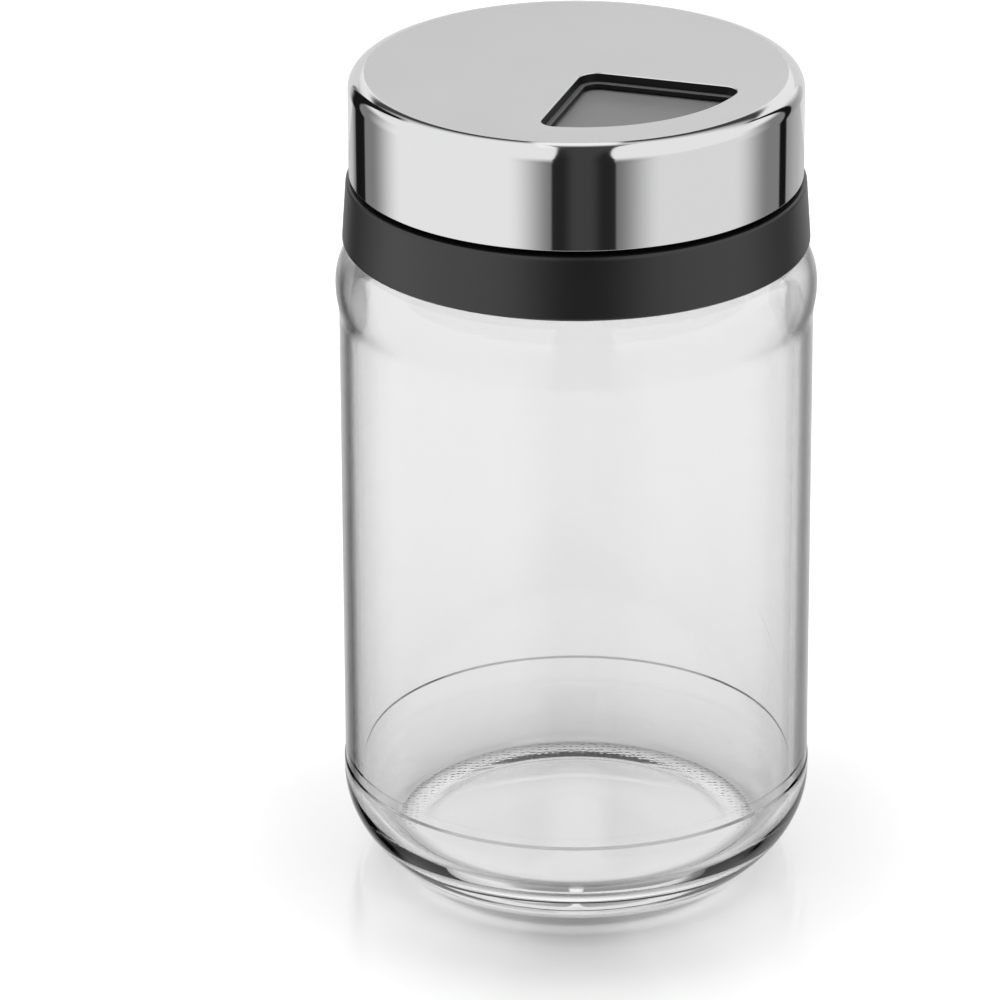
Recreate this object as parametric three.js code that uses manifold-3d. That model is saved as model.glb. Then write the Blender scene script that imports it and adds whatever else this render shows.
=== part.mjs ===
// A glass salt shaker with a turning steel cap, in millimetres, +Z up.
// The origin is the centre of the circle that the jar stands on.
// A clear jar carries a screw lid: a black collar with a sifter disc pressed into it,
// and over them a steel cap with a plastic liner, which turns to bring its window over
// the closed part of the disc, its sifter holes or its pouring hole.

import * as THREE from "three";
import { mergeVertices } from "three/addons/utils/BufferGeometryUtils.js";
import Module from "manifold-3d";

const wasm = await Module();
wasm.setup();

// Overall sizes
const totalHeight = 75;
const bodyRadius = 21.3;

// How finely round shapes are cut into flats
const aroundSteps = 48;
const arcSteps = 3;
const holeSides = 12;
const cutOverrun = 1;

// Steel cap
const capStep = 1; // how far the cap lies inside the jar's side
const capHeight = 9.5;
const steelGauge = 0.4;
const capCornerRadius = 1.2;
const hemWidth = 0.6;
const hemCornerRadius = 0.15;

// Window in the cap, and the stepped frame that the liner makes inside it
const windowBisectorAngle = THREE.MathUtils.degToRad(-62);
const windowHalfAngle = THREE.MathUtils.degToRad(44.4);
const windowRimWidth = 5.3;
const windowApexOffset = 0.55;
const windowSideShift = 0.5; // how far to one side of the axis its middle line runs
const windowApexFillet = 1.8;
const windowCornerFillet = 1.4;
const frameInset = 0.15;
const frameLedgeWidth = 0.5;
const frameLedgeThickness = 0.25;

// Liner of the cap
const linerSideGap = 0.1;
const linerDeckGap = 0.05;
const linerWall = 0.9;
const linerDeck = 0.8;
const linerHemGap = 0.1;
const snapLeadHeight = 0.4;
const snapLandHeight = 0.5;
const snapReturnHeight = 0.3;
const snapLeadDepth = 0.3;

// Running fits between the liner and the collar
const deckRunningGap = 0.2;
const collarBeadGap = 0.25;
const snapBite = 0.35;
const snapTubeGap = 0.2;
const snapBeadGap = 0.4;

// Collar
const capGap = 0.45; // the dark line between the cap and the collar
const collarHeight = 5.8;
const collarStep = 0.35; // how far the collar's foot lies inside the jar's side
const collarDraft = 0.35;
const collarEdgeRadius = 0.35;
const skirtWall = 1.2;
const webThickness = 1.2;
const tubeWall = 1;
const beadFlankHeight = 0.3;
const beadLandHeight = 0.6;
const ledgeThickness = 1.1;
const ledgeMouthStep = 0.4;
const rimDrop = 0.25; // how far the tube's rim lies below the top of the disc

// Sifter disc
const discThickness = 1.2;
const discSideGap = 0.1;
const discSeatGap = 0.05;
const discChamfer = 0.2;
const spigotWall = 0.7;
const spigotHeight = 1.2;
const spigotGap = 0.1;
const sifterTurn = Math.PI / 2; // how far the cap turns from closed to the sifter holes
const pourTurn = Math.PI; // and to the pouring hole
const sifterHoleRadius = 0.7;
const sifterRowHoles = [3, 4, 5];
const sifterRowShares = [0.37, 0.59, 0.82]; // each row's radius, of the spigot's bore
const sifterSpread = THREE.MathUtils.degToRad(54);
const pourHalfAngle = THREE.MathUtils.degToRad(38);
const pourApexOffset = 2.6;
const pourRimMargin = 0.8;
const pourFillet = 1;

// Seal ring
const sealThickness = 0.9;
const sealGap = 0.1;
const sealSideGap = 0.2;
const sealChamfer = 0.2;

// Right-hand thread of the jar and the collar
const threadPitch = 4;
const threadTurns = 1.125;
const threadCrestGap = 0.3;
const threadFlankGap = 0.15;
const threadHeight = 0.8;
const threadRootWidth = 1.8;
const threadCrestWidth = 1;
const threadRootDepth = 0.3; // how far a ridge is sunk into its wall
const threadStartAboveShoulder = 3.7;
const threadFadeShare = 0.08;

// Jar
const jarWall = 1.5;
const neckWall = 1.4;
const shoulderGap = 0.35;
const shoulderFillet = 0.4;
const mouthFillet = 0.8;
const lipRadius = 0.45;
const beadSwell = 0.35; // how far the shoulder's bead swells past the side
const beadDepth = 2.3;
const beadRise = 3.7;
const shoulderCurveWidth = 3;
const heelTop = 7.5;
const heelCurveWidth = 12.6;
const heelCurveHeight = 10.1;
const heelStep = 0.1; // the mould's joint, where the heel stands out past the side
const heelStepBottom = 8.5;
const heelStepHeight = 0.3;
const footEdgeRadius = 0.35;
const footLandWidth = 1.6;
const footSlopeWidth = 1;
const pushUpEdgeHeight = 0.6;
const pushUpCentreHeight = 0.75;
const floorHeight = 2.4;
const floorCurveWidth = 4.6;

// Heights that follow, from the top down
const capTop = totalHeight;
const capBottom = capTop - capHeight;
const steelUnder = capTop - steelGauge;
const deckTop = steelUnder - linerDeckGap;
const deckUnder = deckTop - linerDeck;
const discTop = deckUnder - deckRunningGap;
const discUnder = discTop - discThickness;
const spigotBottom = discUnder - spigotHeight;
const rimTop = discTop - rimDrop;
const ledgeTop = discUnder - discSeatGap;
const ledgeUnder = ledgeTop - ledgeThickness;
const sealTop = ledgeUnder - sealGap;
const sealUnder = sealTop - sealThickness;
const lipTop = sealUnder - sealGap;
const hemTop = capBottom + steelGauge;
const linerBottom = hemTop + linerHemGap;
const snapTop = linerBottom + snapLeadHeight + snapLandHeight;
const beadBottom = snapTop + snapBeadGap;
const collarTop = capBottom - capGap;
const collarBottom = collarTop - collarHeight;
const shoulderTop = collarBottom - shoulderGap;
const beadCentre = shoulderTop - beadRise;
const jarThreadStart = shoulderTop + threadStartAboveShoulder;
const threadDrop = (threadRootWidth + threadCrestWidth) / 2 + threadFlankGap;
const collarThreadStart = jarThreadStart - threadDrop;

// Radii that follow, from the outside in
const capRadius = bodyRadius - capStep;
const steelInner = capRadius - steelGauge;
const steelInnerCorner = capCornerRadius - steelGauge;
const linerOuter = steelInner - linerSideGap;
const linerInner = linerOuter - linerWall;
const linerCorner = steelInnerCorner;
const collarBead = linerInner - collarBeadGap;
const snapInner = collarBead - snapBite;
const tubeOuter = snapInner - snapTubeGap;
const tubeBore = tubeOuter - tubeWall;
const jarThreadCrest = tubeBore - threadCrestGap;
const neckRadius = jarThreadCrest - threadHeight;
const collarThreadCrest = neckRadius + threadCrestGap;
const mouthRadius = neckRadius - neckWall;
const windowRadius = capRadius - windowRimWidth;
const ledgeBore = mouthRadius + ledgeMouthStep;
const spigotOuter = ledgeBore - spigotGap;
const spigotInner = spigotOuter - spigotWall;
const discRadius = tubeBore - discSideGap;
const pourRadius = spigotInner - pourRimMargin;
const sealOuter = tubeBore - sealSideGap;
const collarFoot = bodyRadius - collarStep;
const collarCrown = collarFoot - collarDraft;
const innerRadius = bodyRadius - jarWall;
const beadRadius = bodyRadius + beadSwell;
const beadAxis = beadRadius - beadDepth;
const heelTopRadius = bodyRadius + heelStep;
const heelAxis = heelTopRadius - heelCurveWidth;
const footRadius = heelAxis + heelCurveWidth * Math.cos(Math.asin(heelTop / heelCurveHeight));
const footLandOuter = footRadius - footEdgeRadius;
const footLandInner = footLandOuter - footLandWidth;
const pushUpRadius = footLandInner - footSlopeWidth;

// Colours, roughness and metalness
const clearGlass = new THREE.MeshStandardMaterial({
  color: 0xeef1f1,
  roughness: 0.03,
  metalness: 0,
  transparent: true,
  opacity: 0.25,
});
const blackPlastic = new THREE.MeshStandardMaterial({ color: 0x2b2b2c, roughness: 0.45, metalness: 0 });
const linerPlastic = new THREE.MeshStandardMaterial({ color: 0x1c1c1d, roughness: 0.4, metalness: 0 });
const discPlastic = new THREE.MeshStandardMaterial({ color: 0x4a4a4b, roughness: 0.3, metalness: 0 });
const sealRubber = new THREE.MeshStandardMaterial({ color: 0xd8d8d4, roughness: 0.7, metalness: 0 });
const steel = new THREE.MeshStandardMaterial({ color: 0xc9c9c9, roughness: 0.2, metalness: 1 });

// A closed three.js geometry as a solid that can be cut and joined
function solidOf(geometry) {
  const bare = geometry.index ? geometry.toNonIndexed() : geometry.clone();
  bare.deleteAttribute("normal");
  bare.deleteAttribute("uv");
  const merged = mergeVertices(bare);
  const mesh = new wasm.Mesh({
    numProp: 3,
    vertProperties: new Float32Array(merged.attributes.position.array),
    triVerts: new Uint32Array(merged.index.array),
  });
  return new wasm.Manifold(mesh);
}

// The finished solid as a named three.js mesh
function meshOf(name, solid, material) {
  const data = solid.getMesh();
  const positions = new Float32Array(data.numVert * 3);
  for (let i = 0; i < data.numVert; i++) {
    positions.set(data.vertProperties.subarray(i * data.numProp, i * data.numProp + 3), i * 3);
  }
  const geometry = new THREE.BufferGeometry();
  geometry.setAttribute("position", new THREE.BufferAttribute(positions, 3));
  geometry.setIndex(new THREE.BufferAttribute(new Uint32Array(data.triVerts), 1));
  geometry.computeVertexNormals();
  const mesh = new THREE.Mesh(geometry, material);
  mesh.name = name;
  return mesh;
}

// A body of revolution about Z. The outline is a THREE.Path of (radius, height) that
// runs with the material on its left, from axis to axis or closing on itself.
function turned(outline) {
  const geometry = new THREE.LatheGeometry(outline.getPoints(arcSteps), aroundSteps);
  geometry.rotateX(Math.PI / 2);
  return solidOf(geometry);
}

// A flat outline in the XY plane made into an upright prism
function prism(shape, bottom, top) {
  const geometry = new THREE.ExtrudeGeometry(shape, {
    depth: top - bottom,
    bevelEnabled: false,
    curveSegments: arcSteps * 2,
  });
  geometry.translate(0, 0, bottom);
  return geometry;
}

// A thread's ridge on a wall: a long bar bent round the axis as it climbs. Its root is
// sunk into the wall and its crest stands clear of it, but sinks in at both ends.
function threadRidge({ wallRadius, crestRadius, start }) {
  const outwards = Math.sign(crestRadius - wallRadius);
  const rootRadius = wallRadius - outwards * threadRootDepth;
  const sunkRadius = (wallRadius + rootRadius) / 2;
  const steps = Math.round(aroundSteps * threadTurns);
  const bar = new THREE.BoxGeometry(1, 1, 1, 1, steps, 1);
  const corner = bar.attributes.position;
  for (let i = 0; i < corner.count; i++) {
    const along = corner.getY(i) + 1 / 2;
    const onCrest = Math.sign(corner.getX(i)) === outwards;
    const fade = Math.min(1, Math.min(along, 1 - along) / threadFadeShare);
    const radius = onCrest ? sunkRadius + (crestRadius - sunkRadius) * fade : rootRadius;
    const width = onCrest ? threadCrestWidth : threadRootWidth;
    const angle = threadTurns * 2 * Math.PI * along;
    const height = start + threadPitch * threadTurns * along + width * corner.getZ(i);
    corner.setXYZ(i, radius * Math.cos(angle), radius * Math.sin(angle), height);
  }
  return solidOf(bar);
}

// A sector with rounded corners, symmetrical about +X. Its apex lies a little way out
// from the axis and its arc is centred on the axis.
function sectorShape({ apexOffset, halfAngle, radius, apexFillet, cornerFillet }) {
  const along = new THREE.Vector2(Math.cos(halfAngle), Math.sin(halfAngle));
  const inward = new THREE.Vector2(Math.sin(halfAngle), -Math.cos(halfAngle));
  const reach = radius - cornerFillet;
  const offset = new THREE.Vector2(apexOffset, 0).addScaledVector(inward, cornerFillet);
  const lean = offset.dot(along);
  const length = Math.sqrt(lean * lean + reach * reach - offset.lengthSq()) - lean;
  const corner = offset.clone().addScaledVector(along, length);
  const cornerAngle = Math.atan2(corner.y, corner.x);
  const edgeAngle = halfAngle + Math.PI / 2;
  const apexCentre = apexOffset + apexFillet / Math.sin(halfAngle);

  const shape = new THREE.Shape();
  shape.absarc(0, 0, radius, -cornerAngle, cornerAngle, false);
  shape.absarc(corner.x, corner.y, cornerFillet, cornerAngle, edgeAngle, false);
  shape.absarc(apexCentre, 0, apexFillet, edgeAngle, 2 * Math.PI - edgeAngle, false);
  shape.absarc(corner.x, -corner.y, cornerFillet, -edgeAngle, -cornerAngle, false);
  return shape;
}

// The cutter for a sector hole, turned to face the given angle
function sectorCutter(sizes, angle, bottom, top) {
  return solidOf(prism(sectorShape(sizes), bottom, top).rotateZ(angle));
}

// The cutter for the cap's window from a height upwards, drawn in by an inset all round
function windowCutter(inset, bottom) {
  const sizes = {
    apexOffset: windowApexOffset + inset / Math.sin(windowHalfAngle),
    halfAngle: windowHalfAngle,
    radius: windowRadius - inset,
    apexFillet: windowApexFillet - inset,
    cornerFillet: windowCornerFillet - inset,
  };
  const cutter = sectorCutter(sizes, windowBisectorAngle, bottom, capTop + cutOverrun);
  const shiftX = -windowSideShift * Math.sin(windowBisectorAngle);
  const shiftY = windowSideShift * Math.cos(windowBisectorAngle);
  return cutter.translate([shiftX, shiftY, 0]);
}

function glassJar() {
  const p = new THREE.Path();
  p.moveTo(0, pushUpCentreHeight);
  p.lineTo(pushUpRadius, pushUpEdgeHeight);
  p.lineTo(footLandInner, 0);
  p.lineTo(footLandOuter, 0);
  // The foot's edge turns up into the heel, which sweeps out to the side
  const heelStart = new THREE.Vector2(footRadius + footEdgeRadius, heelHeightAt(footRadius + footEdgeRadius));
  p.quadraticCurveTo(footRadius, 0, heelStart.x, heelStart.y);
  const heelStartAngle = -Math.acos((heelStart.x - heelAxis) / heelCurveWidth);
  p.absellipse(heelAxis, heelTop, heelCurveWidth, heelCurveHeight, heelStartAngle, 0, false, 0);
  p.lineTo(heelTopRadius, heelStepBottom);
  p.lineTo(bodyRadius, heelStepBottom + heelStepHeight);
  // The side meets the bead of the shoulder in a crease
  const creaseAngle = -Math.acos((bodyRadius - beadAxis) / beadDepth);
  p.lineTo(bodyRadius, beadCentre + beadRise * Math.sin(creaseAngle));
  p.absellipse(beadAxis, beadCentre, beadDepth, beadRise, creaseAngle, Math.PI / 2, false, 0);
  p.lineTo(neckRadius + shoulderFillet, shoulderTop);
  p.quadraticCurveTo(neckRadius, shoulderTop, neckRadius, shoulderTop + shoulderFillet);
  p.lineTo(neckRadius, lipTop - lipRadius);
  p.absarc(neckRadius - lipRadius, lipTop - lipRadius, lipRadius, 0, Math.PI / 2, false);
  p.lineTo(mouthRadius + lipRadius, lipTop);
  p.absarc(mouthRadius + lipRadius, lipTop - lipRadius, lipRadius, Math.PI / 2, Math.PI, false);
  // Down the bore, under the shoulder and down the inside to the floor
  const ceiling = shoulderTop - jarWall;
  p.lineTo(mouthRadius, ceiling + mouthFillet);
  p.absarc(mouthRadius + mouthFillet, ceiling + mouthFillet, mouthFillet, Math.PI, 1.5 * Math.PI, false);
  p.lineTo(innerRadius - shoulderCurveWidth, ceiling);
  p.quadraticCurveTo(innerRadius, ceiling, innerRadius, beadCentre);
  p.lineTo(innerRadius, heelTop);
  p.quadraticCurveTo(innerRadius, floorHeight, innerRadius - floorCurveWidth, floorHeight);
  p.lineTo(0, floorHeight);

  const thread = threadRidge({ wallRadius: neckRadius, crestRadius: jarThreadCrest, start: jarThreadStart });
  return turned(p).add(thread);
}

// The height of the heel's curve at a radius
function heelHeightAt(radius) {
  const across = (radius - heelAxis) / heelCurveWidth;
  return heelTop - heelCurveHeight * Math.sqrt(1 - across * across);
}

function sealRing() {
  const p = new THREE.Path();
  p.moveTo(ledgeBore + sealChamfer, sealUnder);
  p.lineTo(sealOuter - sealChamfer, sealUnder);
  p.lineTo(sealOuter, sealUnder + sealChamfer);
  p.lineTo(sealOuter, sealTop - sealChamfer);
  p.lineTo(sealOuter - sealChamfer, sealTop);
  p.lineTo(ledgeBore + sealChamfer, sealTop);
  p.lineTo(ledgeBore, sealTop - sealChamfer);
  p.lineTo(ledgeBore, sealUnder + sealChamfer);
  p.closePath();
  return turned(p);
}

function threadedCollar() {
  const webUnder = collarTop - webThickness;
  const skirtInner = collarCrown - skirtWall;
  const beadTop = beadBottom + 2 * beadFlankHeight + beadLandHeight;
  const p = new THREE.Path();
  p.moveTo(tubeBore, collarBottom);
  p.lineTo(tubeOuter, collarBottom);
  // The space between the tube and the skirt, open downwards
  p.lineTo(tubeOuter, webUnder);
  p.lineTo(skirtInner, webUnder);
  p.lineTo(collarFoot - skirtWall, collarBottom);
  // Up the outside of the skirt
  p.lineTo(collarFoot - collarEdgeRadius, collarBottom);
  p.quadraticCurveTo(collarFoot, collarBottom, collarFoot, collarBottom + collarEdgeRadius);
  p.lineTo(collarCrown, collarTop - collarEdgeRadius);
  p.quadraticCurveTo(collarCrown, collarTop, collarCrown - collarEdgeRadius, collarTop);
  p.lineTo(tubeOuter, collarTop);
  // The bead that holds the cap down, and the rim round the disc
  p.lineTo(tubeOuter, beadBottom);
  p.lineTo(collarBead, beadBottom + beadFlankHeight);
  p.lineTo(collarBead, beadBottom + beadFlankHeight + beadLandHeight);
  p.lineTo(tubeOuter, beadTop);
  p.lineTo(tubeOuter, rimTop);
  p.lineTo(tubeBore, rimTop);
  // The ledge that carries the disc and presses on the seal
  p.lineTo(tubeBore, ledgeTop);
  p.lineTo(ledgeBore, ledgeTop);
  p.lineTo(ledgeBore, ledgeUnder);
  p.lineTo(tubeBore, ledgeUnder);
  p.lineTo(tubeBore, collarBottom);

  const thread = threadRidge({ wallRadius: tubeBore, crestRadius: collarThreadCrest, start: collarThreadStart });
  return turned(p).add(thread);
}

function sifterDisc() {
  const p = new THREE.Path();
  p.moveTo(0, discUnder);
  p.lineTo(spigotInner, discUnder);
  p.lineTo(spigotInner, spigotBottom);
  p.lineTo(spigotOuter, spigotBottom);
  p.lineTo(spigotOuter, discUnder);
  p.lineTo(discRadius, discUnder);
  p.lineTo(discRadius, discTop - discChamfer);
  p.lineTo(discRadius - discChamfer, discTop);
  p.lineTo(0, discTop);

  const pourSizes = {
    apexOffset: pourApexOffset,
    halfAngle: pourHalfAngle,
    radius: pourRadius,
    apexFillet: pourFillet,
    cornerFillet: pourFillet,
  };
  const pourAngle = windowBisectorAngle + pourTurn;
  const pour = sectorCutter(pourSizes, pourAngle, discUnder - cutOverrun, discTop + cutOverrun);
  let disc = turned(p).subtract(pour);
  for (const [row, holes] of sifterRowHoles.entries()) {
    for (let i = 0; i < holes; i++) {
      const angle = sifterSpread * (i / (holes - 1) - 1 / 2);
      disc = disc.subtract(sifterHole(spigotInner * sifterRowShares[row], angle));
    }
  }
  return disc;
}

// The cutter for one sifter hole, at an angle from the middle of the sifter's sector
function sifterHole(radius, angle) {
  const height = discThickness + 2 * cutOverrun;
  const direction = windowBisectorAngle + sifterTurn + angle;
  const hole = new THREE.CylinderGeometry(sifterHoleRadius, sifterHoleRadius, height, holeSides);
  hole.rotateX(Math.PI / 2);
  hole.translate(radius * Math.cos(direction), radius * Math.sin(direction), discUnder + discThickness / 2);
  return solidOf(hole);
}

function capLiner() {
  const p = new THREE.Path();
  p.moveTo(0, deckUnder);
  p.lineTo(linerInner, deckUnder);
  // Down the inside to the bead that snaps under the collar's bead
  p.lineTo(linerInner, snapTop + snapReturnHeight);
  p.lineTo(snapInner, snapTop);
  p.lineTo(snapInner, snapTop - snapLandHeight);
  p.lineTo(snapInner + snapLeadDepth, linerBottom);
  p.lineTo(linerOuter, linerBottom);
  p.lineTo(linerOuter, deckTop - linerCorner);
  p.absarc(linerOuter - linerCorner, deckTop - linerCorner, linerCorner, 0, Math.PI / 2, false);
  p.lineTo(0, deckTop);

  // The frame's recess is wide, and the hole through its ledge is narrower
  const recess = windowCutter(frameInset, deckUnder + frameLedgeThickness);
  const hole = windowCutter(frameInset + frameLedgeWidth, deckUnder - cutOverrun);
  return turned(p).subtract(recess).subtract(hole);
}

function steelCap() {
  const inner = steelInner - steelInnerCorner;
  const outer = capRadius - capCornerRadius;
  const p = new THREE.Path();
  p.moveTo(0, steelUnder);
  p.lineTo(inner, steelUnder);
  p.absarc(inner, steelUnder - steelInnerCorner, steelInnerCorner, Math.PI / 2, 0, true);
  // The hem turns in under the liner
  p.lineTo(steelInner, hemTop);
  p.lineTo(steelInner - hemWidth, hemTop);
  p.lineTo(steelInner - hemWidth, capBottom);
  p.lineTo(capRadius - hemCornerRadius, capBottom);
  p.quadraticCurveTo(capRadius, capBottom, capRadius, capBottom + hemCornerRadius);
  p.lineTo(capRadius, capTop - capCornerRadius);
  p.absarc(outer, capTop - capCornerRadius, capCornerRadius, 0, Math.PI / 2, false);
  p.lineTo(0, capTop);

  return turned(p).subtract(windowCutter(0, steelUnder - cutOverrun));
}

const lid = new THREE.Group();
lid.add(meshOf("seal_ring", sealRing(), sealRubber));
lid.add(meshOf("threaded_collar", threadedCollar(), blackPlastic));
lid.add(meshOf("sifter_disc", sifterDisc(), discPlastic));

const cap = new THREE.Group();
cap.add(meshOf("cap_liner", capLiner(), linerPlastic));
cap.add(meshOf("steel_cap", steelCap(), steel));
lid.add(cap);

const shaker = new THREE.Group();
shaker.add(meshOf("glass_jar", glassJar(), clearGlass));
shaker.add(lid);

export default shaker;
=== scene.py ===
"""A glass salt shaker with a turning steel cap, on a pale glossy table in a light tent.

Each operator makes one piece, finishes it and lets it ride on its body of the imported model.
Lengths are in metres and +Z is up. The window of the cap faces +X and -Y, and so does the camera.
"""

import math

import bmesh
import bpy
from bpy.props import FloatProperty, FloatVectorProperty, PointerProperty
from mathutils import Matrix, Vector


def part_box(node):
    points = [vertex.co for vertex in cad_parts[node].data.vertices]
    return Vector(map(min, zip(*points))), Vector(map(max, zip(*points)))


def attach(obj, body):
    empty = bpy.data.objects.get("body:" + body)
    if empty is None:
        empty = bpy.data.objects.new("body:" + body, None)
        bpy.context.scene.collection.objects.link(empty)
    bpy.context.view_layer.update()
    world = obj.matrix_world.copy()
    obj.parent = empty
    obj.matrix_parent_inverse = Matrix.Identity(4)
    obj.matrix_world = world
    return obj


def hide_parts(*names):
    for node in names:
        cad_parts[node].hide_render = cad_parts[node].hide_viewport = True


bl_info = {
    "name": "Salt Shaker",
    "version": (1, 0, 0),
    "blender": (4, 5, 0),
    "location": "3D View > Sidebar > Shaker",
    "description": "Makes a glass salt shaker with a screw collar and a turning steel cap",
    "category": "Add Mesh",
}

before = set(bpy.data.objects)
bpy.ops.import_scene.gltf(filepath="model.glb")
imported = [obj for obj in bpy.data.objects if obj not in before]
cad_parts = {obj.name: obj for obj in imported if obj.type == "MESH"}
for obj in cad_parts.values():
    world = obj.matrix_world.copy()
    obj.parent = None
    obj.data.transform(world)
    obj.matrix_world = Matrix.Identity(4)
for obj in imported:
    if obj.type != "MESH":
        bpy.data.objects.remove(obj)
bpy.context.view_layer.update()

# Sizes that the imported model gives
jar_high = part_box("glass_jar")[1]
seal_low, seal_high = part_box("seal_ring")
collar_low, collar_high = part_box("threaded_collar")
disc_low, disc_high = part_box("sifter_disc")
liner_low, liner_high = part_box("cap_liner")
steel_low, steel_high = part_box("steel_cap")

# Units, how finely round shapes are cut, angles and plain colours
mm = 0.001
tiny = 1e-6
round_steps = 192
arc_steps = 8
hole_steps = 40
overrun = 1 * mm
full_turn = 2 * math.pi
quarter = math.pi / 2
white = (1, 1, 1, 1)
black = (0, 0, 0, 1)

# Angles between two faces past which their edge stays sharp, and past which it is a rim
smooth_angle = math.radians(40)
rim_angle = math.radians(60)

# Window of the cap
window_bearing = math.radians(-62)
window_half_angle = math.radians(44.4)
window_rim_width = 5.3 * mm
window_apex_offset = 0.55 * mm
window_side_shift = 0.5 * mm
window_apex_fillet = 1.8 * mm
window_corner_fillet = 1.4 * mm
window_edge_roll = 0.14 * mm

# Places of the holes, as shares of the spigot's bore
sifter_row_holes = (3, 4, 5)
sifter_row_shares = (0.37, 0.59, 0.82)


def length(name, description, default):
    """A length that a user can change."""
    return FloatProperty(
        name=name, description=description, default=default, min=0, precision=5, unit="LENGTH"
    )


def share(name, description, default):
    """A plain number, mostly between 0 and 1."""
    return FloatProperty(name=name, description=description, default=default, min=0, subtype="FACTOR")


def colour(name, description, default):
    """A colour that a user can change."""
    return FloatVectorProperty(
        name=name, description=description, default=default, min=0, max=1, size=3, subtype="COLOR"
    )


def angle(name, description, default):
    """An angle that a user can change."""
    return FloatProperty(name=name, description=description, default=default, subtype="ANGLE")


class JarSettings(bpy.types.PropertyGroup):
    """Sizes and looks of the glass jar."""

    body_radius: length("Body radius", "Outer radius of the straight side", 21.3 * mm)
    wall: length("Wall", "Thickness of the glass", 1.5 * mm)
    neck_radius: length("Neck radius", "Outer radius of the neck under its thread", 16 * mm)
    mouth_radius: length("Mouth radius", "Radius of the open mouth", 14.6 * mm)
    shoulder_height: length("Shoulder height", "Height of the top of the shoulder", 58.9 * mm)
    bead_depth: length("Bead depth", "Half width of the bead's curve", 2.3 * mm)
    bead_rise: length("Bead rise", "Height of the bead's curve over its widest place", 3.7 * mm)
    bead_start: length("Bead start", "Height where the side starts to swell into the bead", 52.1 * mm)
    heel_top: length("Heel top", "Height where the heel's curve ends", 7.5 * mm)
    heel_width: length("Heel width", "Half width of the heel's curve", 12.6 * mm)
    heel_height: length("Heel height", "Half height of the heel's curve", 10.1 * mm)
    heel_step: length("Heel step", "How far the heel stands out past the side", 0.1 * mm)
    step_bottom: length("Step bottom", "Height where the step over the heel starts", 8.6 * mm)
    step_rise: length("Step rise", "Height of that step", 0.25 * mm)
    thread_height: length("Thread height", "How far the thread stands out", 0.8 * mm)
    tint: colour("Tint", "Colour of the glass seen straight through", (0.81, 0.81, 0.81))
    # Painted shade: the glass's colour darkens to this where its wall is seen edge-on, for the dark
    # surroundings that the wall shows there
    edge_shade_colour: colour("Edge tint", "Colour of the glass seen along its wall", (0.03, 0.03, 0.03))


class CollarSettings(bpy.types.PropertyGroup):
    """Sizes and looks of the black screw collar."""

    top: length("Top", "Height of the top of the outer skirt", 65.05 * mm)
    draft: length("Draft", "How much the skirt narrows to its top", 0.35 * mm)
    edge_radius: length("Edge radius", "Rounding of the skirt's edges", 0.35 * mm)
    skirt_wall: length("Skirt wall", "Thickness of the outer skirt", 1.2 * mm)
    tube_outer: length("Tube outer radius", "Outer radius of the inner tube", 18.1 * mm)
    tube_bore: length("Tube bore", "Inner radius of the inner tube", 17.1 * mm)
    bead_radius: length("Bead radius", "Radius of the bead that holds the cap", 18.65 * mm)
    bead_bottom: length("Bead bottom", "Height of the underside of that bead", 67.3 * mm)
    ledge_bore: length("Ledge bore", "Inner radius of the ledge over the mouth", 15 * mm)
    base: colour("Colour", "Colour of the black plastic", (0.006, 0.006, 0.0062))


class DiscSettings(bpy.types.PropertyGroup):
    """Sizes and looks of the sifter disc."""

    thickness: length("Thickness", "Thickness of the disc", 1.2 * mm)
    spigot_outer: length("Spigot radius", "Outer radius of the spigot in the mouth", 14.9 * mm)
    spigot_wall: length("Spigot wall", "Thickness of the spigot", 0.7 * mm)
    hole_radius: length("Hole radius", "Radius of one sifter hole", 0.7 * mm)
    hole_spread: angle("Hole spread", "Angle that a row of holes covers", math.radians(54))
    edge_roll: length("Edge rounding", "Rounding of the holes' edges", 0.08 * mm)
    base: colour("Colour", "Colour of the dark grey plastic", (0.13, 0.13, 0.131))


class CapSettings(bpy.types.PropertyGroup):
    """Sizes and looks of the steel cap and its liner."""

    gauge: length("Gauge", "Thickness of the sheet steel", 0.4 * mm)
    corner_radius: length("Corner radius", "Rounding of the top edge", 1.5 * mm)
    hem_width: length("Hem width", "How far the rolled hem turns in", 0.6 * mm)
    hem_corner: length("Hem corner", "Rounding of the lower edge", 0.15 * mm)
    liner_wall: length("Liner wall", "Thickness of the liner's wall", 0.9 * mm)
    liner_deck: length("Liner deck", "Thickness of the liner's top", 0.8 * mm)
    snap_radius: length("Snap radius", "Inner radius of the snap bead", 18.3 * mm)
    ledge_width: length("Ledge width", "Width of the ledge inside the window", 0.45 * mm)
    ledge_thickness: length("Ledge thickness", "Thickness of that ledge", 0.4 * mm)
    steel: colour("Steel", "Colour of the polished steel", (0.76, 0.76, 0.765))
    satin: colour("Satin", "Colour of the satin steel", (0.84, 0.84, 0.845))
    liner: colour("Liner", "Colour of the liner", (0.004, 0.004, 0.004))


class StageSettings(bpy.types.PropertyGroup):
    """Camera, floor and light tent."""

    elevation: angle("Camera elevation", "Height of the camera above the table", math.radians(23.116))
    distance: length("Camera distance", "Distance of the camera from its target", 603.8 * mm)
    target_height: length("Target height", "Height that the camera looks at", 33.59 * mm)
    lens: FloatProperty(
        name="Lens", description="Focal length in millimetres", default=238.8, subtype="DISTANCE_CAMERA"
    )
    shift: FloatProperty(name="Shift", description="Sideways shift of the lens", default=-0.0763)
    floor_colour: colour("Floor", "Colour of the table top", (0.9, 0.9, 0.9))
    floor_gloss: share("Floor gloss", "Share of the table's light that is mirrored", 0.3)
    floor_blur: share("Floor blur", "Roughness of the table's gloss", 0.1)
    light: FloatProperty(name="Light", description="Strength of the soft light", default=1, min=0)
    glow: share("Glow", "Strength of the light that the jar gathers under itself", 1.25)
    card_light: share("Card light", "Brightness of the card that the table mirrors", 0.8)


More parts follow.
